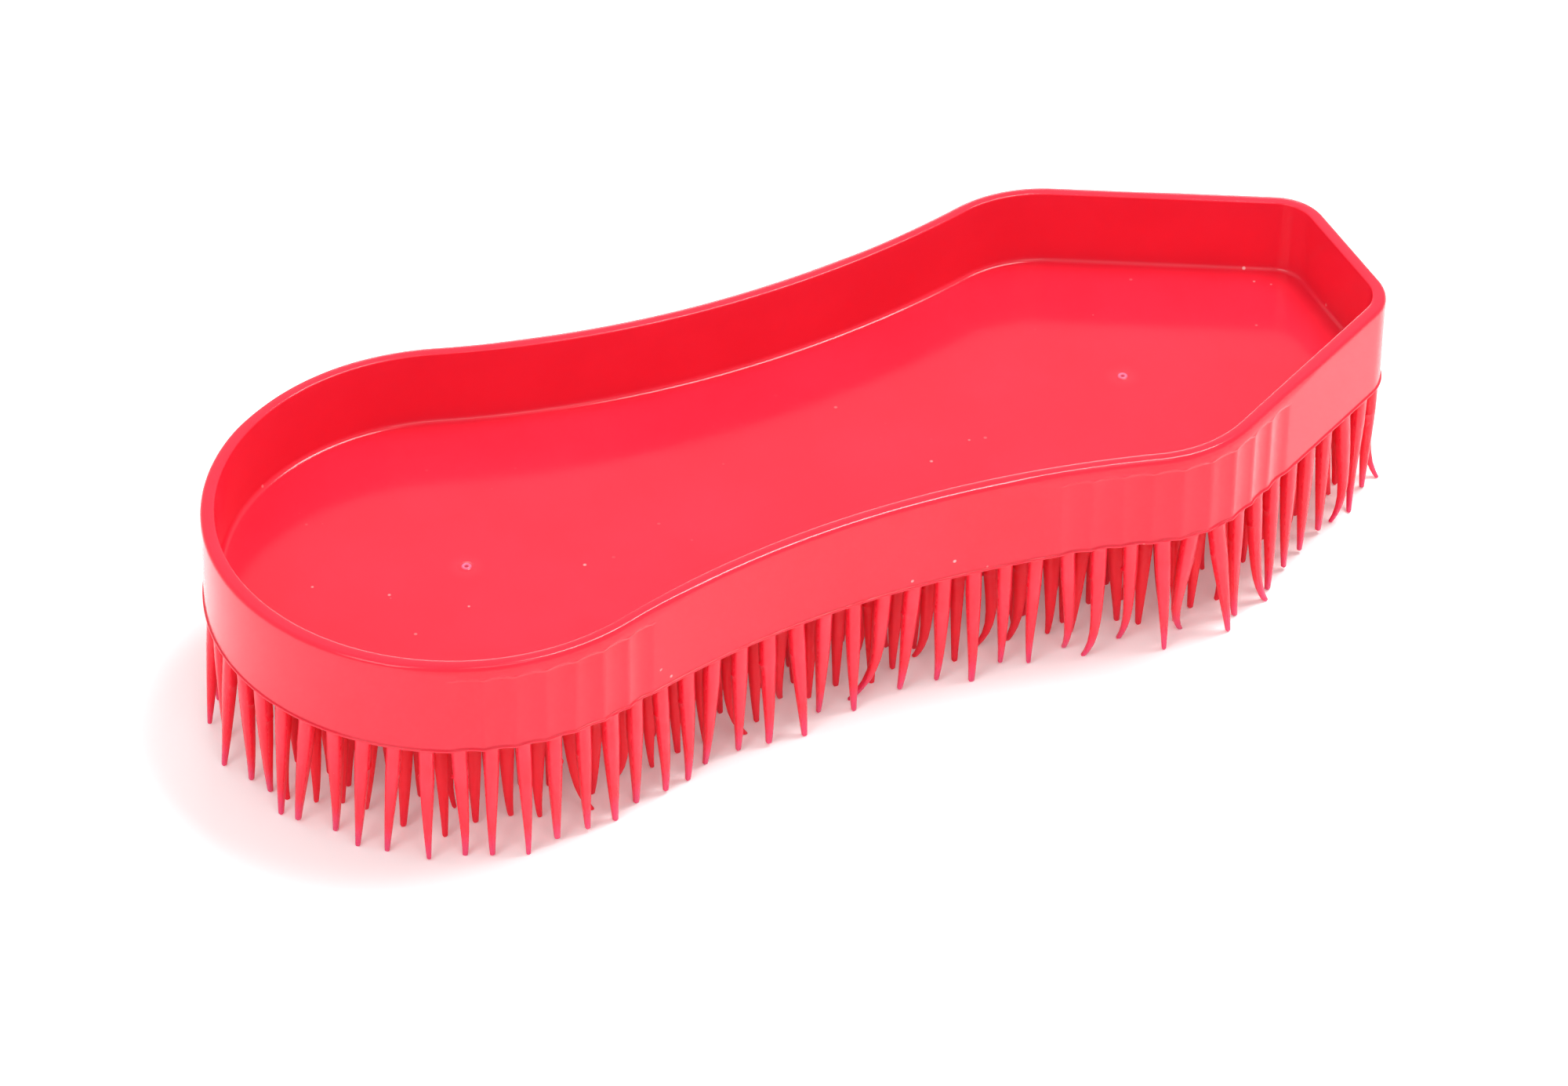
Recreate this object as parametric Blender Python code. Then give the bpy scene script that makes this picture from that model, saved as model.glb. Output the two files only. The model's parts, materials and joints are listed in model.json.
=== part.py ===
"""Curry brush moulded in soft rubber: an open tray that sits in the palm, and tapered pins under it.

The tray is waisted in plan, round at its -X end and cut to a tapered flat at its +X end, and it is the
same on both sides of the XZ plane. The pins stand in cross rows. Each row is its own solid, a thin
strip of the brush's underside with its pins, and rocks about a line across the brush. Units are metres,
+Z is up, and the origin lies under the middle of the tray, at the level of the pin tips.
"""
from math import atan2, ceil, cos, hypot, pi, radians, sin, sqrt, tan

import bmesh
import bpy

for old in list(bpy.data.objects):
    bpy.data.objects.remove(old)

MM = 0.001

# Plan of the tray
BODY_LENGTH = 185.0 * MM
ROUND_END_RADIUS = 37.2 * MM
WAIST_WIDTH = 56.6 * MM
HIP_WIDTH = 70.0 * MM
HIP_RADIUS = 21.0 * MM
HIP_TO_FLAT_END = 44.4 * MM
FLAT_END_WIDTH = 17.8 * MM
FLAT_END_CORNER_RADIUS = 8.3 * MM

# Section of the tray
TRAY_DEPTH = 12.6 * MM
FLOOR_THICKNESS = 1.8 * MM
WALL_THICKNESS = 2.1 * MM
WALL_DRAFT = 0.3 * MM
FLOOR_FILLET = 1.0 * MM
RIM_EDGE = 0.6 * MM

# Grip flutes on the outside of the wall, centred on its four widest places
FLUTE_PITCH = 4.6 * MM
FLUTE_DEPTH = 0.3 * MM
FLUTES_AT_ROUND_END = 7
FLUTES_AT_HIP = 9
FLUTE_TOP_BELOW_RIM = 1.8 * MM

# Pins and the strips that carry them
PIN_LENGTH = 20.5 * MM
PIN_PITCH = 4.8 * MM
PIN_ROOT_RADIUS = 1.1 * MM
PIN_TIP_RADIUS = 0.35 * MM
PIN_SIDES = 6
STRIP_THICKNESS = 1.0 * MM

# Clearances
HINGE_GAP = 0.3 * MM
STRIP_GAP = 0.3 * MM
PIN_INSET = 0.1 * MM
PIN_SIDE_MARGIN = 0.02 * MM
CLOSEST_PINS = 3.2 * MM
TIP_GAP = 0.3 * MM

# How finely curves are cut into facets, and the least angle that shows as an edge
OUTLINE_STEP = 4.0 * MM
STRIP_STEP = 2.5 * MM
FACETS_PER_FLUTE = 4
TRAY_SHARP_ANGLE = radians(30)
ROW_SHARP_ANGLE = radians(65)

# Heights that follow from the sizes above
PIN_ROOT_Z = PIN_LENGTH
STRIP_RIDGE_Z = PIN_ROOT_Z + STRIP_THICKNESS
TRAY_BOTTOM_Z = STRIP_RIDGE_Z + HINGE_GAP
TRAY_FLOOR_Z = TRAY_BOTTOM_Z + FLOOR_THICKNESS
RIM_Z = TRAY_FLOOR_Z + TRAY_DEPTH

# A row rocks until its tips are next to the tips of the row beside it
TIP_TRAVEL = PIN_PITCH - 2 * PIN_TIP_RADIUS - TIP_GAP
ROCK_ANGLE = atan2(TIP_TRAVEL, STRIP_RIDGE_Z)

TRAY_COLOUR = (0.95, 0.055, 0.085)
PIN_COLOUR = (0.90, 0.030, 0.065)
RUBBER_ROUGHNESS = 0.45


def arc(centre, radius, start, end):
    """Piece of outline on a circle, from angle start to angle end; its length and its point function."""
    side = 1 if end < start else -1

    def point(distance):
        angle = start - side * distance / radius
        normal = (side * cos(angle), side * sin(angle))
        place = (centre[0] + radius * cos(angle), centre[1] + radius * sin(angle))
        return place, normal

    return abs(end - start) * radius, point


def line(start, end):
    """Straight piece of outline, and its length; the outside is on the left of its direction."""
    length = hypot(end[0] - start[0], end[1] - start[1])
    along = ((end[0] - start[0]) / length, (end[1] - start[1]) / length)

    def point(distance):
        place = (start[0] + along[0] * distance, start[1] + along[1] * distance)
        return place, (-along[1], along[0])

    return length, point


def waist_radius(lobe, lobe_radius, waist):
    """Radius of the arc that leaves the waist point along X and runs into a lobe's circle."""
    rise = waist[1] - lobe[1]
    span = waist[0] - lobe[0]
    return (span ** 2 + rise ** 2 - lobe_radius ** 2) / (2 * (lobe_radius - rise))


def half_outline():
    """The +Y half of the tray's plan, as arcs and lines from the round end's tip to the flat end."""
    half_length = BODY_LENGTH / 2
    waist = (0.0, WAIST_WIDTH / 2)
    round_end = (-half_length + ROUND_END_RADIUS, 0.0)
    hip = (half_length - HIP_TO_FLAT_END, HIP_WIDTH / 2 - HIP_RADIUS)
    corner = (half_length - FLAT_END_CORNER_RADIUS, FLAT_END_WIDTH / 2)

    back_radius = waist_radius(round_end, ROUND_END_RADIUS, waist)
    front_radius = waist_radius(hip, HIP_RADIUS, waist)
    back_centre = (waist[0], waist[1] + back_radius)
    front_centre = (waist[0], waist[1] + front_radius)
    leave_round = atan2(back_centre[1] - round_end[1], back_centre[0] - round_end[0])
    reach_hip = atan2(front_centre[1] - hip[1], front_centre[0] - hip[0])

    taper = hypot(corner[0] - hip[0], corner[1] - hip[1])
    taper_direction = atan2(corner[1] - hip[1], corner[0] - hip[0])
    lean = (HIP_RADIUS - FLAT_END_CORNER_RADIUS) / taper
    taper_normal = taper_direction + atan2(sqrt(1 - lean ** 2), lean)
    outward = (cos(taper_normal), sin(taper_normal))
    taper_start = (hip[0] + HIP_RADIUS * outward[0], hip[1] + HIP_RADIUS * outward[1])
    taper_end = (corner[0] + FLAT_END_CORNER_RADIUS * outward[0],
                 corner[1] + FLAT_END_CORNER_RADIUS * outward[1])

    return [
        arc(round_end, ROUND_END_RADIUS, pi, leave_round),
        arc(back_centre, back_radius, leave_round - pi, -pi / 2),
        arc(front_centre, front_radius, -pi / 2, reach_hip - pi),
        arc(hip, HIP_RADIUS, reach_hip, taper_normal),
        line(taper_start, taper_end),
        arc(corner, FLAT_END_CORNER_RADIUS, taper_normal, 0.0),
        line((half_length, corner[1]), (half_length, 0.0)),
    ]


OUTLINE = half_outline()
OUTLINE_LENGTH = sum(length for length, _ in OUTLINE)


def outline_point(station, inset=0.0):
    """The point at a distance along the half outline, moved into the tray by inset."""
    distance = station
    for length, point in OUTLINE[:-1]:
        if distance <= length:
            break
        distance -= length
    else:
        length, point = OUTLINE[-1]
    (x, y), (out_x, out_y) = point(min(distance, length))
    return x - out_x * inset, y - out_y * inset


def station_at(x):
    """The distance along the half outline at which it reaches x."""
    low, high = 0.0, OUTLINE_LENGTH - FLAT_END_WIDTH / 2
    for _ in range(50):
        middle = (low + high) / 2
        if outline_point(middle)[0] < x:
            low = middle
        else:
            high = middle
    return high


def spaced(start, end, step):
    """Values from start to end, evenly spaced and no further apart than step."""
    count = max(1, ceil((end - start) / step - 1e-6))
    return [start + (end - start) * i / count for i in range(count + 1)]


def flute_groups():
    """Start and end, as distances along the half outline, of each group of grip flutes."""
    groups = []
    widest = ((-BODY_LENGTH / 2 + ROUND_END_RADIUS, FLUTES_AT_ROUND_END),
              (BODY_LENGTH / 2 - HIP_TO_FLAT_END, FLUTES_AT_HIP))
    for x, count in widest:
        middle = station_at(x)
        half = count * FLUTE_PITCH / 2
        groups.append((middle - half, middle + half))
    return groups


FLUTE_GROUPS = flute_groups()


def flute_depth(station):
    """How deep the outside of the wall is scooped at a distance along the half outline."""
    for start, end in FLUTE_GROUPS:
        if start <= station <= end:
            turn = 2 * pi * (station - start) / FLUTE_PITCH
            return FLUTE_DEPTH * (1 - cos(turn)) / 2
    return 0.0


def tray_stations():
    """Distances along the half outline at which the tray's rings have a point."""
    stations = []
    reached = 0.0
    for length, _ in OUTLINE:
        stations += spaced(reached, reached + length, OUTLINE_STEP)
        reached += length
    kept = [s for s in stations if not any(a <= s <= b for a, b in FLUTE_GROUPS)]
    for start, end in FLUTE_GROUPS:
        kept += spaced(start, end, FLUTE_PITCH / FACETS_PER_FLUTE)
    kept.sort()
    shortest = FLUTE_PITCH / FACETS_PER_FLUTE / 2
    spread = [kept[0]]
    for station in kept[1:-1]:
        if station - spread[-1] > shortest and kept[-1] - station > shortest:
            spread.append(station)
    return spread + [kept[-1]]


def ring(stations, inset, z, fluted=False):
    """A closed ring of points round the tray: along the +Y side, then back along the -Y side."""
    side = []
    for station in stations:
        extra = flute_depth(station) if fluted else 0.0
        side.append(outline_point(station, inset + extra))
    far = [(x, y, z) for x, y in side]
    near = [(x, -y, z) for x, y in side[-2:0:-1]]
    return far + near


def new_object(name, bm, colour, sharp_angle, location=(0.0, 0.0, 0.0)):
    """An object from a bmesh, shaded smooth up to sharp_angle, with a rubber material of its own."""
    bmesh.ops.recalc_face_normals(bm, faces=bm.faces)
    mesh = bpy.data.meshes.new(name)
    bm.to_mesh(mesh)
    bm.free()
    mesh.shade_smooth()
    mesh.set_sharp_from_angle(angle=sharp_angle)
    material = bpy.data.materials.new(name + "_rubber")
    material.use_nodes = True
    shader = material.node_tree.nodes["Principled BSDF"]
    shader.inputs["Base Color"].default_value = (*colour, 1.0)
    shader.inputs["Roughness"].default_value = RUBBER_ROUGHNESS
    shader.inputs["Metallic"].default_value = 0.0
    mesh.materials.append(material)
    obj = bpy.data.objects.new(name, mesh)
    obj.location = location
    bpy.context.scene.collection.objects.link(obj)


def loft(bm, rings):
    """A closed solid skinned over rings of equal length, with its first and last ring capped."""
    loops = [[bm.verts.new(point) for point in points] for points in rings]
    for lower, upper in zip(loops, loops[1:]):
        count = len(lower)
        for i in range(count):
            j = (i + 1) % count
            bm.faces.new((lower[i], lower[j], upper[j], upper[i]))
    bm.faces.new(loops[0])
    bm.faces.new(loops[-1])


def make_tray():
    """The tray: fluted wall, flat rim, and a floor whose fillet meets the inside of the wall."""
    stations = tray_stations()
    foot_of_wall = WALL_THICKNESS + WALL_DRAFT
    bm = bmesh.new()
    loft(bm, [
        ring(stations, 0.0, TRAY_BOTTOM_Z, fluted=True),
        ring(stations, 0.0, RIM_Z - FLUTE_TOP_BELOW_RIM, fluted=True),
        ring(stations, 0.0, RIM_Z - RIM_EDGE),
        ring(stations, RIM_EDGE, RIM_Z),
        ring(stations, WALL_THICKNESS, RIM_Z),
        ring(stations, foot_of_wall, TRAY_FLOOR_Z + FLOOR_FILLET),
        ring(stations, foot_of_wall + FLOOR_FILLET, TRAY_FLOOR_Z),
    ])
    new_object("tray_shell", bm, TRAY_COLOUR, TRAY_SHARP_ANGLE)


def edge_pins():
    """The +Y half of the ring of pins that follows the outline, from the round end to the flat end."""
    count = round(OUTLINE_LENGTH / PIN_PITCH)
    inset = PIN_ROOT_RADIUS + PIN_INSET
    return [outline_point(OUTLINE_LENGTH * i / count, inset) for i in range(count + 1)]


def grouped_by_row(pins):
    """Edge pins in rows: pins too close along X for a strip's edge to pass between them share a row."""
    needed = 2 * (PIN_ROOT_RADIUS + PIN_SIDE_MARGIN) + STRIP_GAP
    rows = [[pins[0]]]
    for pin in pins[1:]:
        if pin[0] - rows[-1][-1][0] >= needed:
            rows.append([pin])
        else:
            rows[-1].append(pin)
    return rows


def innermost(groups, index):
    """The edge pin of a row that is nearest to the middle of the brush."""
    return groups[index][-1 if index == 0 else 0]


def row_gaps(groups):
    """How many gaps each row has between its pins: one more or one fewer than the row before.

    The pins of a row then fall between those of the rows beside it, and rows that stand close
    together, as they do at the round end, have wider gaps.
    """
    edge = [pin for group in groups for pin in group]
    counts = []
    for index in range(len(groups)):
        pin = innermost(groups, index)
        place = edge.index(pin)
        room = (edge[place + 1][0] - edge[place - 1][0]) / 2
        wanted = 2 * pin[1] * room / PIN_PITCH ** 2
        if index == 0:
            counts.append(max(1, round(wanted)))
        else:
            counts.append(counts[-1] + (1 if wanted > counts[-1] else -1))
    return counts


def pin_places(groups, index, gaps):
    """Every pin of a row: its edge pins on both sides, and pins spread between its innermost pair."""
    edge = groups[index] + [(x, -y) for x, y in groups[index] if y > PIN_ROOT_RADIUS]
    x, reach = innermost(groups, index)
    inner = [(x, reach * (2 * i / gaps - 1)) for i in range(1, gaps)]
    clear = [p for p in inner if all(hypot(p[0] - q[0], p[1] - q[1]) > CLOSEST_PINS for q in edge)]
    return edge + clear


def pin_rows():
    """Each row as the X span of its strip, the X of its rocking line, and its pins' places."""
    groups = grouped_by_row(edge_pins())
    edges = [-BODY_LENGTH / 2]
    for left, right in zip(groups, groups[1:]):
        edges.append((left[-1][0] + right[0][0]) / 2)
    edges.append(BODY_LENGTH / 2)
    rows = []
    for index, (group, gaps) in enumerate(zip(groups, row_gaps(groups))):
        first, last = index == 0, index == len(groups) - 1
        start = edges[index] + (0.0 if first else STRIP_GAP / 2)
        end = edges[index + 1] - (0.0 if last else STRIP_GAP / 2)
        rocking_line = (group[0][0] + group[-1][0]) / 2
        rows.append((start, end, rocking_line, pin_places(groups, index, gaps)))
    return rows


def strip_side(start, end, ridge):
    """The strip's end on the +Y side, cut to the tray's outline, with a point on the rocking line."""
    first, middle, last = station_at(start), station_at(ridge), station_at(end)
    if start <= -BODY_LENGTH / 2:
        first = 0.0
    if end >= BODY_LENGTH / 2:
        last = OUTLINE_LENGTH
    before = spaced(first, middle, STRIP_STEP)
    after = spaced(middle, last, STRIP_STEP)
    return [outline_point(station) for station in before + after[1:]]


def polygon(centre, radius, z):
    """Corners of a pin's section, with a flat towards +X and -X."""
    turn = 2 * pi / PIN_SIDES
    return [(centre[0] + radius * cos(turn * (i + 0.5)), centre[1] + radius * sin(turn * (i + 0.5)), z)
            for i in range(PIN_SIDES)]


def closed_loop(bm, points):
    """New vertices joined into a loop of edges."""
    verts = [bm.verts.new(point) for point in points]
    edges = [bm.edges.new((verts[i - 1], verts[i])) for i in range(len(verts))]
    return verts, edges


def make_row(name, start, end, ridge, pins):
    """One row: a strip whose top falls away from its rocking line on both sides, and its pins."""
    far = strip_side(start, end, ridge)
    near = [(x, -y) for x, y in reversed(far)]
    plan = far + [p for p in near if abs(p[1]) > PIN_INSET]
    bm = bmesh.new()

    # The underside is filled round the pins' roots
    under, edges = closed_loop(bm, [(x - ridge, y, -STRIP_THICKNESS) for x, y in plan])
    for place in pins:
        centre = (place[0] - ridge, place[1])
        root, root_edges = closed_loop(bm, polygon(centre, PIN_ROOT_RADIUS, -STRIP_THICKNESS))
        tip = [bm.verts.new(p) for p in polygon(centre, PIN_TIP_RADIUS, -STRIP_RIDGE_Z)]
        edges += root_edges
        for i in range(PIN_SIDES):
            bm.faces.new((root[i - 1], root[i], tip[i], tip[i - 1]))
        bm.faces.new(tip)
    bmesh.ops.triangle_fill(bm, use_beauty=True, edges=edges)

    # The top is two slopes that meet on the rocking line
    top = [bm.verts.new((x - ridge, y, -abs(x - ridge) * tan(ROCK_ANGLE))) for x, y in plan]
    for i in range(len(plan)):
        bm.faces.new((under[i - 1], under[i], top[i], top[i - 1]))
    on_ridge = [i for i, (x, _) in enumerate(plan) if abs(x - ridge) < PIN_INSET / 10]
    a, b = on_ridge
    bm.faces.new(top[a:b + 1])
    bm.faces.new(top[b:] + top[:a + 1])

    new_object(name, bm, PIN_COLOUR, ROW_SHARP_ANGLE, location=(ridge, 0.0, STRIP_RIDGE_Z))


make_tray()
for number, (row_start, row_end, rocking_line, row_pins) in enumerate(pin_rows(), start=1):
    make_row(f"pin_row_{number:02d}", row_start, row_end, rocking_line, row_pins)
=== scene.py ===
"""Looks of a rubber curry brush: one soft red moulding, an open palm tray with tapered pins under it."""

import json
from math import atan2, ceil, cos, hypot, pi, radians, sin, sqrt

import bpy
import numpy as np
from mathutils import Matrix, Vector


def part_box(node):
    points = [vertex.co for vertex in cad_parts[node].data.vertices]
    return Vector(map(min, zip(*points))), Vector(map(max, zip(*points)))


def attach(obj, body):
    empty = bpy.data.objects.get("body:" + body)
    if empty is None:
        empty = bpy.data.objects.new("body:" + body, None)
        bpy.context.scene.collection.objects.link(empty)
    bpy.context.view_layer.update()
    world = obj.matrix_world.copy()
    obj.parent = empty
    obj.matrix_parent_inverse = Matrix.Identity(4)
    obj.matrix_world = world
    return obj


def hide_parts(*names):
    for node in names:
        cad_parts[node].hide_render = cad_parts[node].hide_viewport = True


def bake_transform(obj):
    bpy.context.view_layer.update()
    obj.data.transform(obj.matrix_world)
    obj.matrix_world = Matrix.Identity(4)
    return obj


MM = 0.001

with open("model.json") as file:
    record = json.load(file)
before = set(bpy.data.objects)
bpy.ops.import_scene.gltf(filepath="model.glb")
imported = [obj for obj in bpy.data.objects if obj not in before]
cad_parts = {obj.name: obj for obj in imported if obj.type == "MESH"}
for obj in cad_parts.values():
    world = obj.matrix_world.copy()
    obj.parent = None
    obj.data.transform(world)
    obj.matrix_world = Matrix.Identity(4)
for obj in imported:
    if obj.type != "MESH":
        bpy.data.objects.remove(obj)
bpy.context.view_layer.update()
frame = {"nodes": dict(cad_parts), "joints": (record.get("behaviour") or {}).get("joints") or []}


# ---------------------------------------------------------------------------------------------------
# Tray. The palm side of the moulding: an upright wall round a flat floor, in soft red rubber with a
# satin skin. It comes out of the mould in one shot with the pins, and its outside has scooped grip
# flutes at the four widest places.
# ---------------------------------------------------------------------------------------------------
TRAY_LOW, TRAY_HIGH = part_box("tray_shell")
HALF_LENGTH = TRAY_HIGH.x
RIM_Z = TRAY_HIGH.z
ROUND_END_RADIUS = TRAY_HIGH.y
WAIST_HALF_WIDTH = 28.3 * MM
HIP_CENTRE = (HALF_LENGTH - 44.4 * MM, 14.0 * MM)
HIP_RADIUS = 21.0 * MM
FLAT_END_HALF_WIDTH = 8.9 * MM
FLAT_END_CORNER_RADIUS = 8.3 * MM

ROOT_Z = 20.5 * MM
FLOOR_Z = 23.6 * MM
WALL_THICKNESS = 2.1 * MM
WALL_DRAFT = 0.3 * MM
FLOOR_FILLET = 0.8 * MM
FOOT_BEAD = 0.24 * MM
RIM_OUTER_EDGE = 0.75 * MM
RIM_DROP_AT_WAIST, RIM_DROP_AT_GRIPS = 0.75 * MM, 1.7 * MM
RIM_INNER_EDGE = 0.25 * MM
RIM_CROWN = 0.1 * MM
OUTLINE_STEP = 0.5 * MM

FLUTE_PITCH = 4.6 * MM
FLUTE_DEPTH = 0.36 * MM
FLUTES_AT_ROUND_END = 7
FLUTES_AT_HIP = 9
FLUTE_TOP_Z = RIM_Z - 2.0 * MM
FLUTE_END_HEIGHT = 0.8 * MM
RIDGE_BEAD = 0.12 * MM
RIDGE_BEAD_BELOW_TOP = 0.35 * MM
RIDGE_BEAD_HEIGHT = 0.5 * MM


def arc(centre, radius, start, end):
    """Piece of outline on a circle: its length, and the place and outward direction along it."""
    side = 1 if end < start else -1

    def point(distance):
        angle = start - side * distance / radius
        out = (side * cos(angle), side * sin(angle))
        return (centre[0] + radius * cos(angle), centre[1] + radius * sin(angle)), out

    return abs(end - start) * radius, point


def line(start, end):
    """Straight piece of outline, with its outside on the left of its direction."""
    length = hypot(end[0] - start[0], end[1] - start[1])
    along = ((end[0] - start[0]) / length, (end[1] - start[1]) / length)

    def point(distance):
        return (start[0] + along[0] * distance, start[1] + along[1] * distance), (-along[1], along[0])

    return length, point


def waist_radius(lobe, radius):
    """Radius of the arc that leaves the waist along X and runs into a lobe's circle."""
    rise = WAIST_HALF_WIDTH - lobe[1]
    return (lobe[0] ** 2 + rise ** 2 - radius ** 2) / (2 * (radius - rise))


def half_outline():
    """The +Y half of the tray's plan, from the tip of the round end to the middle of the flat end."""
    round_end = (-HALF_LENGTH + ROUND_END_RADIUS, 0.0)
    corner = (HALF_LENGTH - FLAT_END_CORNER_RADIUS, FLAT_END_HALF_WIDTH)
    back = waist_radius(round_end, ROUND_END_RADIUS)
    front = waist_radius(HIP_CENTRE, HIP_RADIUS)
    back_centre, front_centre = (0.0, WAIST_HALF_WIDTH + back), (0.0, WAIST_HALF_WIDTH + front)
    leave_round = atan2(back_centre[1] - round_end[1], back_centre[0] - round_end[0])
    reach_hip = atan2(front_centre[1] - HIP_CENTRE[1], front_centre[0] - HIP_CENTRE[0])
    run, drop = corner[0] - HIP_CENTRE[0], corner[1] - HIP_CENTRE[1]
    lean = (HIP_RADIUS - FLAT_END_CORNER_RADIUS) / hypot(run, drop)
    square = atan2(drop, run) + atan2(sqrt(1 - lean ** 2), lean)
    out = (cos(square), sin(square))
    taper = [(x + r * out[0], y + r * out[1])
             for (x, y), r in ((HIP_CENTRE, HIP_RADIUS), (corner, FLAT_END_CORNER_RADIUS))]
    return [
        arc(round_end, ROUND_END_RADIUS, pi, leave_round),
        arc(back_centre, back, leave_round - pi, -pi / 2),
        arc(front_centre, front, -pi / 2, reach_hip - pi),
        arc(HIP_CENTRE, HIP_RADIUS, reach_hip, square),
        line(*taper),
        arc(corner, FLAT_END_CORNER_RADIUS, square, 0.0),
        line((HALF_LENGTH, corner[1]), (HALF_LENGTH, 0.0)),
    ]


PIECES = half_outline()
PIECE_ENDS = np.cumsum([length for length, _ in PIECES])
HALF_ROUND = float(PIECE_ENDS[-1])


def on_outline(station):
    """Place and outward direction at a distance along the half outline."""
    index = min(int(np.searchsorted(PIECE_ENDS, station)), len(PIECES) - 1)
    length, point = PIECES[index]
    before = PIECE_ENDS[index] - length
    return point(min(station - before, length))


STATIONS = np.linspace(0.0, HALF_ROUND, ceil(HALF_ROUND / OUTLINE_STEP) + 1)
SIDE = np.array([[*place, *out] for place, out in map(on_outline, STATIONS)])
MIRROR = np.array([1.0, -1.0, 1.0, -1.0])
OUTLINE = np.vstack([SIDE, SIDE[-2:0:-1] * MIRROR])
ROUND_STATIONS = np.concatenate([STATIONS, STATIONS[-2:0:-1]])


GRIPS = ((-HALF_LENGTH + ROUND_END_RADIUS, FLUTES_AT_ROUND_END), (HIP_CENTRE[0], FLUTES_AT_HIP))


def flute_share(stations):
    """How far into a flute each station is: 1 on its middle line, 0 at its edges and between groups."""
    share = np.zeros(len(stations))
    for x, count in GRIPS:
        middle = np.interp(x, SIDE[:, 0], STATIONS)
        along = (stations - middle) / FLUTE_PITCH + count / 2
        inside = (along > 0) & (along < count)
        share[inside] = 1 - (2 * (along[inside] % 1) - 1) ** 2
    return share


FLUTES = flute_share(ROUND_STATIONS)
RIDGES = np.where(FLUTES > 0, (1 - FLUTES) ** 2, 0.0)


def rim_drop():
    """How far down the wall the rim's outer rounding reaches: a tight edge, and a full one over the grips."""
    drop = np.full(len(ROUND_STATIONS), RIM_DROP_AT_WAIST)
    for x, count in GRIPS:
        middle = np.interp(x, SIDE[:, 0], STATIONS)
        beyond = np.abs(ROUND_STATIONS - middle) - count * FLUTE_PITCH / 2
        share = np.clip(1 - beyond / (2 * FLUTE_PITCH), 0.0, 1.0)
        drop += (RIM_DROP_AT_GRIPS - RIM_DROP_AT_WAIST) * share ** 2 * (3 - 2 * share)
    return drop


RIM_DROP = rim_drop()


def ring(inset, z, drop=0.0):
    """One loop of the skin, lowered by a share of the rim's drop. The flutes scoop its outside."""
    depth = np.full(len(OUTLINE), inset)
    if inset <= 0.0 and z < FLUTE_TOP_Z:
        up_the_end = max(0.0, (z - FLUTE_TOP_Z + FLUTE_END_HEIGHT) / FLUTE_END_HEIGHT)
        depth += FLUTE_DEPTH * np.clip(FLUTES - up_the_end ** 2, 0.0, 1.0)
        off_bead = 2 * (z - FLUTE_TOP_Z + RIDGE_BEAD_BELOW_TOP) / RIDGE_BEAD_HEIGHT
        depth -= RIDGE_BEAD * RIDGES * max(0.0, 1 - off_bead ** 2)
    places = OUTLINE[:, :2] - OUTLINE[:, 2:] * depth[:, None]
    return np.column_stack([places, z - drop * RIM_DROP])


def tray_profile():
    """The tray's section, from the underside round the rim to the floor: insets, heights and rim drops."""
    section = [(2.5 * MM, ROOT_Z), (1.0 * MM, ROOT_Z)]
    section += [(-FOOT_BEAD * sin(a), ROOT_Z + FOOT_BEAD * (1 - cos(a))) for a in np.linspace(0, pi, 9)]
    plain_top = FLUTE_TOP_Z - 1.2 * FLUTE_END_HEIGHT
    section += [(0.0, z) for z in np.linspace(ROOT_Z + 3 * FOOT_BEAD, plain_top, 7)]
    section += [(0.0, z) for z in np.linspace(FLUTE_TOP_Z - FLUTE_END_HEIGHT, FLUTE_TOP_Z, 17)]
    section += [(RIM_OUTER_EDGE * (1 - cos(a)), RIM_Z - RIM_CROWN, 1 - sin(a))
                for a in np.linspace(0, pi / 2, 13)]
    section += [((RIM_OUTER_EDGE + WALL_THICKNESS - RIM_INNER_EDGE) / 2, RIM_Z)]
    section += [(WALL_THICKNESS - RIM_INNER_EDGE * (1 - sin(a)),
                 RIM_Z - RIM_CROWN - RIM_INNER_EDGE * (1 - cos(a))) for a in np.linspace(0, pi / 2, 7)]
    foot = WALL_THICKNESS + WALL_DRAFT
    section += [(WALL_THICKNESS + WALL_DRAFT * t, RIM_Z + (FLOOR_Z + FLOOR_FILLET - RIM_Z) * t)
                for t in (0.25, 0.5, 0.75)]
    section += [(foot + FLOOR_FILLET * (1 - cos(a)), FLOOR_Z + FLOOR_FILLET * (1 - sin(a)))
                for a in np.linspace(0, pi / 2, 11)]
    section += [(foot + FLOOR_FILLET + 0.6 * MM, FLOOR_Z)]
    return section


def mesh_object(name, points, faces):
    """An object from its points and faces, shaded smooth and facing out."""
    mesh = bpy.data.meshes.new(name)
    mesh.from_pydata([tuple(p) for p in points], [], faces)
    mesh.shade_smooth()
    obj = bpy.data.objects.new(name, mesh)
    bpy.context.scene.collection.objects.link(obj)
    return obj


def skin(first, count, loops):
    """Four-sided faces over loops of count points each, numbered on from first."""
    faces = []
    for loop in range(loops - 1):
        low, high = first + loop * count, first + (loop + 1) * count
        faces += [(low + (i + 1) % count, low + i, high + i, high + (i + 1) % count) for i in range(count)]
    return faces


# The gate marks' section, from its skirt under the floor to its pit: radii and heights in millimetres.
GATE_MARKS = ((-54.0 * MM, 0.0), (54.0 * MM, 0.0))
GATE_SECTION = ((1.5, -0.05), (1.15, 0.01), (0.9, 0.03), (0.76, 0.06), (0.66, 0.17), (0.55, 0.22),
                (0.44, 0.18), (0.34, 0.07), (0.24, 0.04), (0.1, 0.06))
GATE_SIDES = 28


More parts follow.
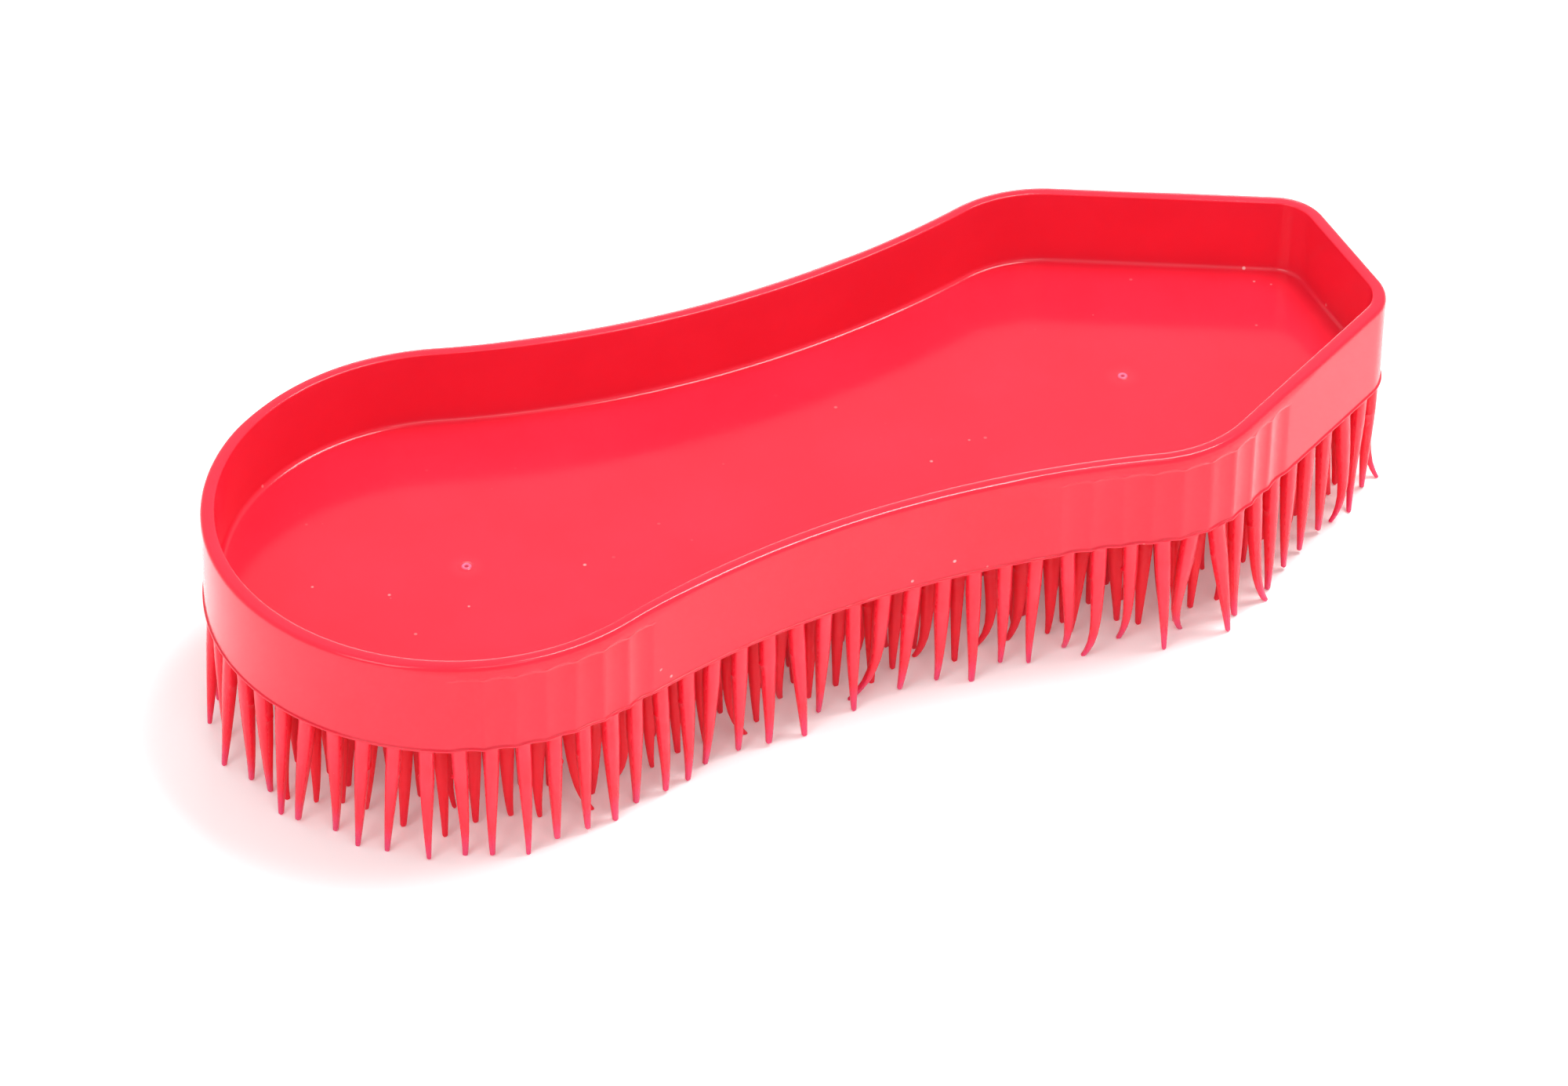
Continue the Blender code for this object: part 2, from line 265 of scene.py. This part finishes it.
def gate_mark(place, first):
    """The small raised ring round a pit that the mould's gate leaves on the floor."""
    points, count = [], GATE_SIDES
    for radius, height in GATE_SECTION:
        for angle in np.arange(count) * 2 * pi / count:
            points.append((place[0] + radius * MM * cos(angle), place[1] + radius * MM * sin(angle),
                           FLOOR_Z + height * MM))
    faces = [tuple(reversed(f)) for f in skin(first, count, len(GATE_SECTION))]
    last = first + (len(GATE_SECTION) - 1) * count
    faces.append(tuple(range(last, last + count)))
    faces.append(tuple(range(first + count - 1, first - 1, -1)))
    return points, faces


def make_tray():
    """The tray's skin with its two gate marks."""
    section = tray_profile()
    count = len(OUTLINE)
    points = np.vstack([ring(*place) for place in section])
    faces = skin(0, count, len(section))
    last = (len(section) - 1) * count
    faces.append(tuple(range(count)))
    faces.append(tuple(range(last + count - 1, last - 1, -1)))
    for place in GATE_MARKS:
        more_points, more_faces = gate_mark(place, len(points))
        points = np.vstack([points, more_points])
        faces += more_faces
    return mesh_object("tray", points, faces)


class Wire:
    """An output of a material's nodes. Arithmetic on it adds Math nodes; add() makes any other node."""

    def __init__(self, nodes, socket=None):
        self.nodes, self.socket = nodes, socket

    def add(self, kind, sockets, output=0, **settings):
        """A node of one kind: its settings come first, then values or links for its sockets."""
        node = self.nodes.new("ShaderNode" + kind)
        for name, value in settings.items():
            setattr(node, name, value)
        for name, value in sockets.items():
            if isinstance(value, Wire):
                self.nodes.id_data.links.new(value.socket, node.inputs[name])
            else:
                node.inputs[name].default_value = value
        return Wire(self.nodes, node.outputs[output])

    def math(self, operation, first, second=0.0):
        return self.add("Math", {0: first, 1: second}, operation=operation)

    def __add__(self, other):
        return self.math("ADD", self, other)

    def __mul__(self, other):
        return self.math("MULTIPLY", self, other)

    __radd__, __rmul__ = __add__, __mul__

    def ramp(self, low, high):
        """0 at low, 1 at high, eased in between."""
        return self.add("MapRange", {"Value": self, "From Min": low, "From Max": high},
                        interpolation_type="SMOOTHSTEP")

    def tint(self, low, high):
        """The colour low where this is 0, and high where it is 1."""
        return self.add("Mix", {0: self, 6: low, 7: high}, output=2, data_type="RGBA")

    def grain(self, scale, detail=2.0, roughness=0.5):
        """Soft noise on this position, in cells per metre."""
        return self.add("TexNoise", {"Vector": self, "Scale": scale, "Detail": detail,
                                     "Roughness": roughness})


RUBBER = (0.835, 0.0200, 0.0470, 1.0)
RUBBER_DEEP = (0.800, 0.0170, 0.0410, 1.0)
RUBBER_PALE = (0.960, 0.1300, 0.1700, 1.0)
RUBBER_SHEER = (1.0, 0.14, 0.12)
GATE_PINK = (1.0, 0.20, 0.36, 1.0)
GATE_DARK = (0.30, 0.015, 0.050, 1.0)
DUST = (0.95, 0.62, 0.62, 1.0)
GLOSS = 0.38


def new_rubber(name, glow, depth):
    """A rubber material's nodes, the position on the piece, and its Principled shader's inputs."""
    material = bpy.data.materials.new(name)
    material.use_nodes = True
    nodes = material.node_tree.nodes
    shader = nodes["Principled BSDF"]
    inputs = shader.inputs
    inputs["Specular IOR Level"].default_value = GLOSS
    inputs["Subsurface Weight"].default_value = glow
    inputs["Subsurface Radius"].default_value = RUBBER_SHEER
    inputs["Subsurface Scale"].default_value = depth
    place = Wire(nodes).add("TexCoord", {}, output=3)
    return material, place, inputs


def feed(inputs, **sockets):
    """Links wires to a shader's inputs."""
    for name, wire in sockets.items():
        wire.nodes.id_data.links.new(wire.socket, inputs[name.replace("_", " ")])


def tray_rubber():
    """Satin rubber: faint clouds, pink rings at the gates, pale dust on the floor and round the foot."""
    material, place, inputs = new_rubber("tray_rubber", 0.15, 1.5 * MM)
    colour = place.grain(55.0, 3.0).ramp(0.3, 0.7).tint(RUBBER_DEEP, RUBBER)

    for x, y in GATE_MARKS:
        away = place.add("VectorMath", {0: place, 1: (x, y, FLOOR_Z)}, output=1, operation="DISTANCE")
        halo = away.ramp(3.2 * MM, 0.8 * MM)
        lip = away.ramp(0.85 * MM, 0.6 * MM) * away.ramp(0.25 * MM, 0.42 * MM)
        pit = away.ramp(0.34 * MM, 0.16 * MM)
        colour = (halo * 0.07).tint(colour, RUBBER_PALE)
        colour = (lip * 0.75).tint(colour, GATE_PINK)
        colour = (pit * 0.7).tint(colour, GATE_DARK)

    cells = place.add("TexVoronoi", {"Vector": place, "Scale": 420.0}, output=0)
    chances = place.add("TexVoronoi", {"Vector": place, "Scale": 420.0}, output=1)
    chance = place.add("SeparateColor", {0: chances})
    drift = place.grain(38.0, 2.0).ramp(0.5, 0.68)
    height = place.add("SeparateXYZ", {0: place}, output=2)
    low_down = height.ramp(FLOOR_Z + 1.2 * MM, FLOOR_Z + 0.4 * MM)
    dust = cells.ramp(0.15, 0.05) * place.math("GREATER_THAN", chance, 0.74) * drift * low_down
    colour = (dust * 0.75).tint(colour, DUST)

    smudges = place.grain(90.0, 4.0, 0.6)
    fine = place.grain(2600.0, 2.0)
    rough = 0.09 + 0.09 * smudges + 0.03 * fine + 0.3 * dust
    bump = place.add("Bump", {"Height": place.grain(60.0, 1.0) + fine * 0.015 + dust * 0.1,
                              "Strength": 0.25, "Distance": 0.2 * MM})
    feed(inputs, Base_Color=colour, Roughness=rough, Normal=bump)
    return material


tray = make_tray()
tray.data.materials.append(tray_rubber())
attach(tray, "tray")
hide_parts("tray_shell")


# ---------------------------------------------------------------------------------------------------
# Pins. Rows of tapered rubber fingers moulded in one with the underside, flush with the wall along its
# edge. Each keeps its width for the first quarter, where the mould's inserts meet and leave a little
# flash, then tapers to a blunt tip. They all lean a little, and more of them curl towards the flat end.
# ---------------------------------------------------------------------------------------------------
PIN_SEED = 15
PIN_RED_LOW = (0.95, 0.020, 0.046, 1.0)
PIN_RED_HIGH = (0.98, 0.028, 0.060, 1.0)
# painted light: cooler pink for the tips, standing in for light from the white table shining through and off
# them
TIP_PAINTED_LIGHT_PINK = (0.78, 0.060, 0.190, 1.0)
# painted shade: the deeper red given to the inner pins, standing in for the shade and red bounce light among
# them
PAINTED_SHADE_RED = (0.96, 0.006, 0.024, 1.0)
PIN_SIDES = 14
ROOT_RADIUS = 1.1 * MM
TIP_RADIUS = 0.37 * MM
ROOT_FLARE = 0.08 * MM
ROOT_SINK = 0.2 * MM
FLASH_AT = 0.27
FLASH_REACHES = (0.0, 0.10 * MM, 0.2 * MM, 0.3 * MM)
TAPER_POWER = 1.15
EDGE_REACH = 2.0 * MM
SQUARENESS = 3.4
NARROWED = 0.05
FLARE_ENDS_AT = 0.03
FLASH_HALF_HEIGHT = 0.012
TIP_ROUNDING = 0.7 * TIP_RADIUS
TIP_FLAT = 0.62

LEAN = 0.9 * MM
LEAN_POWER = 1.1
CURL = 0.7 * MM
CURL_POWER = 7
HOOKED_CURL, PLAIN_CURL = 2.2, 0.25
HOOKED_FROM, HOOKED_TO = -40 * MM, 50 * MM
FEWEST_HOOKED, MOST_HOOKED = 0.05, 0.55
LIFTED_TIPS = 0.7 * MM
EDGE_INSET = 0.12 * MM
SPLAY = 0.8 * MM
SPLAY_FULL_AT = 60 * MM
# Where the painted shade on the inner pins starts, and how far in it grows to full.
PAINTED_SHADE_STARTS = 0.6 * MM
PAINTED_SHADE_DEPTH = 2.6 * MM

SWING = radians(10.0)
CLEAR_AT = np.array([0.45, 0.6, 0.72, 0.82, 0.92, 1.0])
CLEARANCE = 0.04 * MM
TRIES = 60
NEAR_PINS = 60
SLIMMEST, WIDEST = 0.98, 1.12
CORNERS = 1.15


def pin_tips(node):
    """The middle of each pin's tip on a row of the frame."""
    corners = {tuple(np.round(v.co, 6)) for v in frame["nodes"][node].data.vertices if v.co.z < 0.1 * MM}
    groups = []
    for corner in sorted(corners):
        for group in groups:
            if hypot(corner[0] - group[0][0], corner[1] - group[0][1]) < 1.2 * MM:
                group.append(corner)
                break
        else:
            groups.append([corner])
    return [np.mean(group, axis=0)[:2] for group in groups]


def facing(place):
    """Which way a pin's outer side faces: square to the wall along the edge, and along Y further in."""
    away = np.hypot(OUTLINE[:, 0] - place[0], OUTLINE[:, 1] - place[1])
    nearest = away.argmin()
    if away[nearest] < EDGE_REACH:
        return atan2(OUTLINE[nearest, 3], OUTLINE[nearest, 2]), EDGE_INSET
    return -pi / 2, 0.0


def bent(place, bend, down):
    """The middle of a bent pin at a share of the way down it."""
    return place + bend[0] * down ** LEAN_POWER + bend[1] * down ** CURL_POWER


def splay(place):
    """How far a pin's tip stands out from the edge: the pins round both ends spread a little."""
    turn, inset = facing(place)
    share = np.clip(abs(place[0]) / SPLAY_FULL_AT, 0.0, 1.0) if inset else 0.0
    return SPLAY * share * np.array([cos(turn), sin(turn)])


def room_left(line, row, lines):
    """The least room between a pin and the pins near it, with either row rocked to its limit."""
    others = np.array([other for _, other in lines])
    swing = np.array([0.0 if other_row == row else 1.0 for other_row, _ in lines])
    weight = CLEAR_AT ** 2 * (3 - 2 * CLEAR_AT)
    reach = swing[:, None] * weight * sin(SWING) * ROOT_Z * CLEAR_AT
    apart = np.abs(others - line)
    gap = np.hypot(np.maximum(0.0, apart[:, :, 0] - reach), apart[:, :, 1])
    share = ((CLEAR_AT - FLASH_AT) / (1 - FLASH_AT)) ** TAPER_POWER
    widest = WIDEST * ROOT_RADIUS
    return float((gap - 2 * CORNERS * (widest + (WIDEST * TIP_RADIUS - widest) * share)).min())


def choose_bends(rows, draw):
    """A lean and a curl for every pin, drawn again and gentler until it clears the pins beside it."""
    straight = [[(row, np.tile(place, (len(CLEAR_AT), 1))) for place in places]
                for row, places in enumerate(rows)]
    lines, bends = [], []
    for row, places in enumerate(rows):
        chosen = []
        later = [line for coming in straight[row + 1:row + 3] for line in coming]
        for index, place in enumerate(places):
            near = lines[-NEAR_PINS:] + straight[row][index + 1:] + later
            best, most = None, -1.0
            for attempt in range(TRIES):
                calm = 1 - attempt / TRIES
                lean = draw.normal(0.0, LEAN, 2) * calm + splay(place) * calm
                share = np.interp(place[0], (HOOKED_FROM, HOOKED_TO), (FEWEST_HOOKED, MOST_HOOKED))
                gain = HOOKED_CURL if draw.random() < share else PLAIN_CURL
                curl = draw.normal(0.0, CURL, 2) * calm * gain
                line = np.array([bent(place, (lean, curl), down) for down in CLEAR_AT])
                room = room_left(line, row, near)
                if room > most:
                    best, most, drawn = (lean, curl), room, line
                if room > CLEARANCE:
                    break
            lines.append((row, drawn))
            chosen.append(best)
        bends.append(chosen)
    return bends


def pin_shape(place, bend, draw):
    """Points of one pin, loop by loop from its root to its tip."""
    turn, inset = facing(place)
    place = np.asarray(place) - inset * np.array([cos(turn), sin(turn)])
    length = ROOT_Z - LIFTED_TIPS * draw.random() ** 2
    width = draw.uniform(SLIMMEST, WIDEST)
    flash = draw.choice(FLASH_REACHES)
    flash_side = draw.integers(2) * pi
    step = draw.uniform(0.03, 0.09)
    blunt = draw.uniform(0.85, 1.15)
    depths = [-ROOT_SINK / length, 0.0, 0.006, 0.016, 0.035, 0.09, 0.16, 0.22,
              FLASH_AT - FLASH_HALF_HEIGHT, FLASH_AT, FLASH_AT + FLASH_HALF_HEIGHT,
              0.34, 0.45, 0.56, 0.67, 0.78, 0.87, 0.94, 0.975, 0.992, 1.0]
    loops = []
    for depth in depths:
        down = max(depth, 0.0)
        taper = ROOT_RADIUS * width
        if down > FLASH_AT:
            taper *= 1 - step
            share = (down - FLASH_AT) / (1 - FLASH_AT)
            taper += (TIP_RADIUS * blunt - taper) * share ** TAPER_POWER
        else:
            taper *= 1 - NARROWED * down / FLASH_AT
        taper += ROOT_FLARE * max(0.0, 1 - down / FLARE_ENDS_AT) ** 2
        from_tip = (1 - down) * length
        if from_tip < TIP_ROUNDING:
            taper *= TIP_FLAT + (1 - TIP_FLAT) * sqrt(max(0.0, 1 - (1 - from_tip / TIP_ROUNDING) ** 2))
        middle = bent(place, bend, down)
        height = ROOT_Z - depth * length
        for side in range(PIN_SIDES):
            angle = 2 * pi * side / PIN_SIDES
            c, s = cos(angle), sin(angle)
            radius = taper / (abs(c) ** SQUARENESS + abs(s) ** SQUARENESS) ** (1 / SQUARENESS)
            if depth == FLASH_AT and cos(angle - pi / 2 - flash_side) > 0.88:
                radius += flash
            loops.append((middle[0] + radius * cos(angle + turn), middle[1] + radius * sin(angle + turn),
                          height))
    return loops, len(depths)


# Share of painted shade for the inner pins.
def painted_shade_share(places):
    """How much painted shade each place gets, by how far inside the brush it is: 0 along the edge, 1 from the
    second ring of pins inwards.
    """
    places = np.asarray(places)
    away = np.array([np.hypot(OUTLINE[:, 0] - x, OUTLINE[:, 1] - y).min() for x, y in places])
    return np.clip((away - PAINTED_SHADE_STARTS) / PAINTED_SHADE_DEPTH, 0.0, 1.0)


def make_pins(name, places, bends, draw):
    """One row of pins."""
    points, faces, inside = [], [], []
    for place, bend in zip(places, bends):
        loops, count = pin_shape(place, bend, draw)
        first = len(points)
        points += loops
        # Each point's share of painted shade, kept on the mesh for the pin material.
        inside += list(np.tile(painted_shade_share([p[:2] for p in loops[:PIN_SIDES]]), count))
        faces += skin(first, PIN_SIDES, count)
        last = first + (count - 1) * PIN_SIDES
        faces.append(tuple(range(first, first + PIN_SIDES)))
        faces.append(tuple(range(last + PIN_SIDES - 1, last - 1, -1)))
    pins = mesh_object(name, points, faces)
    pins.data.set_sharp_from_angle(angle=radians(60))
    pins.data.attributes.new("painted_shade_share", "FLOAT", "POINT").data.foreach_set("value", inside)
    return pins


def pin_rubber():
    """The same rubber where it is thin, with painted light and shade: a cooler pink at the tips painted for
    light from the white table shining through and off them, and a deeper red among the inner pins painted for
    the shade between them.
    """
    material, place, inputs = new_rubber("pin_rubber", 0.35, 1.5 * MM)
    colour = place.grain(160.0, 2.0).ramp(0.3, 0.7).tint(PIN_RED_LOW, PIN_RED_HIGH)
    # painted light: the last 6 mm above the table turn cooler pink, for table light through and off the tips
    thin = place.add("SeparateXYZ", {0: place}, output=2).ramp(6.0 * MM, 0.0)
    colour = (thin * 0.8).tint(colour, TIP_PAINTED_LIGHT_PINK)
    # painted shade: the inner pins are tinted deeper red for the shade among them
    inside = place.add("Attribute", {}, output=2, attribute_name="painted_shade_share")
    colour = (inside * 0.85).tint(colour, PAINTED_SHADE_RED)
    rough = 0.18 + 0.12 * place.grain(700.0, 3.0) + 0.25 * inside
    bump = place.add("Bump", {"Height": place.grain(1500.0, 2.0), "Strength": 0.25, "Distance": 0.05 * MM})
    feed(inputs, Base_Color=colour, Roughness=rough, Normal=bump)
    return material


draw = np.random.default_rng(PIN_SEED)
finish = pin_rubber()
rows = [pin_tips(joint["child"]) for joint in frame["joints"]]
for joint, places, bends in zip(frame["joints"], rows, choose_bends(rows, draw)):
    row = joint["child"]
    pins = make_pins(row + "_pins", places, bends, draw)
    pins.data.materials.append(finish)
    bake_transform(pins)
    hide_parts(row)


# ---------------------------------------------------------------------------------------------------
# Studio. A white table that glows a little, a high soft box and three weaker ones round the brush, and
# the camera above the near side.
# ---------------------------------------------------------------------------------------------------
scene = bpy.context.scene
scene.view_settings.view_transform = "Standard"

WHITE = (1.0, 1.0, 1.0, 1.0)
PAPER = (0.97, 0.97, 0.97, 1.0)
TABLE_SIZE = 6.0
TABLE_GLOW = 0.14
ROOM_LIGHT, MORE_AT_BACK = 0.60, 0.14

corner = TABLE_SIZE / 2
table = mesh_object("table", [(-corner, -corner, 0.0), (corner, -corner, 0.0), (corner, corner, 0.0),
                              (-corner, corner, 0.0)], [(0, 1, 2, 3)])
paper = bpy.data.materials.new("white_paper")
paper.use_nodes = True
sheet = paper.node_tree.nodes["Principled BSDF"].inputs
sheet["Base Color"].default_value = PAPER
sheet["Roughness"].default_value = 0.7
sheet["Emission Color"].default_value = WHITE
sheet["Emission Strength"].default_value = TABLE_GLOW
table.data.materials.append(paper)

world = bpy.data.worlds.new("studio")
world.use_nodes = True
sky = world.node_tree.nodes
room = Wire(sky).add("TexCoord", {})
towards_back = room.add("SeparateXYZ", {0: room}, output=1).ramp(-0.3, 0.7)
sky["Background"].inputs["Color"].default_value = WHITE
feed(sky["Background"].inputs, Strength=ROOM_LIGHT + MORE_AT_BACK * towards_back)
scene.world = world


def soft_box(name, place, size, power):
    """A square light that faces the brush."""
    light = bpy.data.lights.new(name, "AREA")
    light.shape = "SQUARE"
    light.size = size
    light.energy = power
    lamp = bpy.data.objects.new(name, light)
    lamp.location = place
    lamp.rotation_euler = (Vector((0, 0, 0.02)) - Vector(place)).to_track_quat("-Z", "Y").to_euler()
    scene.collection.objects.link(lamp)


soft_box("key_box", (0.42, 0.06, 1.10), 0.42, 11.0)
soft_box("left_box", (-0.9, -0.5, 0.95), 0.6, 4.5)
soft_box("near_box", (-0.10, -1.0, 1.25), 0.6, 2.5)
soft_box("back_box", (0.57, 1.17, 0.36), 0.5, 3.5)

AIM = Vector((-16.12 * MM, -28.12 * MM, RIM_Z))
CAMERA_DISTANCE = 1.0635
AZIMUTH, ELEVATION, ROLL = radians(-25.907), radians(39.597), radians(0.837)
LENS_OVER_WIDTH = 4.70494

back = Vector((sin(AZIMUTH) * cos(ELEVATION), -cos(AZIMUTH) * cos(ELEVATION), sin(ELEVATION)))
level = Vector((cos(AZIMUTH), sin(AZIMUTH), 0.0))
upright = back.cross(level)
right = level * cos(ROLL) + upright * sin(ROLL)
up = upright * cos(ROLL) - level * sin(ROLL)
lens = bpy.data.cameras.new("camera")
lens.sensor_width = 36.0
lens.sensor_fit = "HORIZONTAL"
lens.lens = lens.sensor_width * LENS_OVER_WIDTH
camera = bpy.data.objects.new("camera", lens)
turned = Matrix((right, up, back)).transposed().to_4x4()
camera.matrix_world = Matrix.Translation(AIM + back * CAMERA_DISTANCE) @ turned
scene.collection.objects.link(camera)
scene.camera = camera
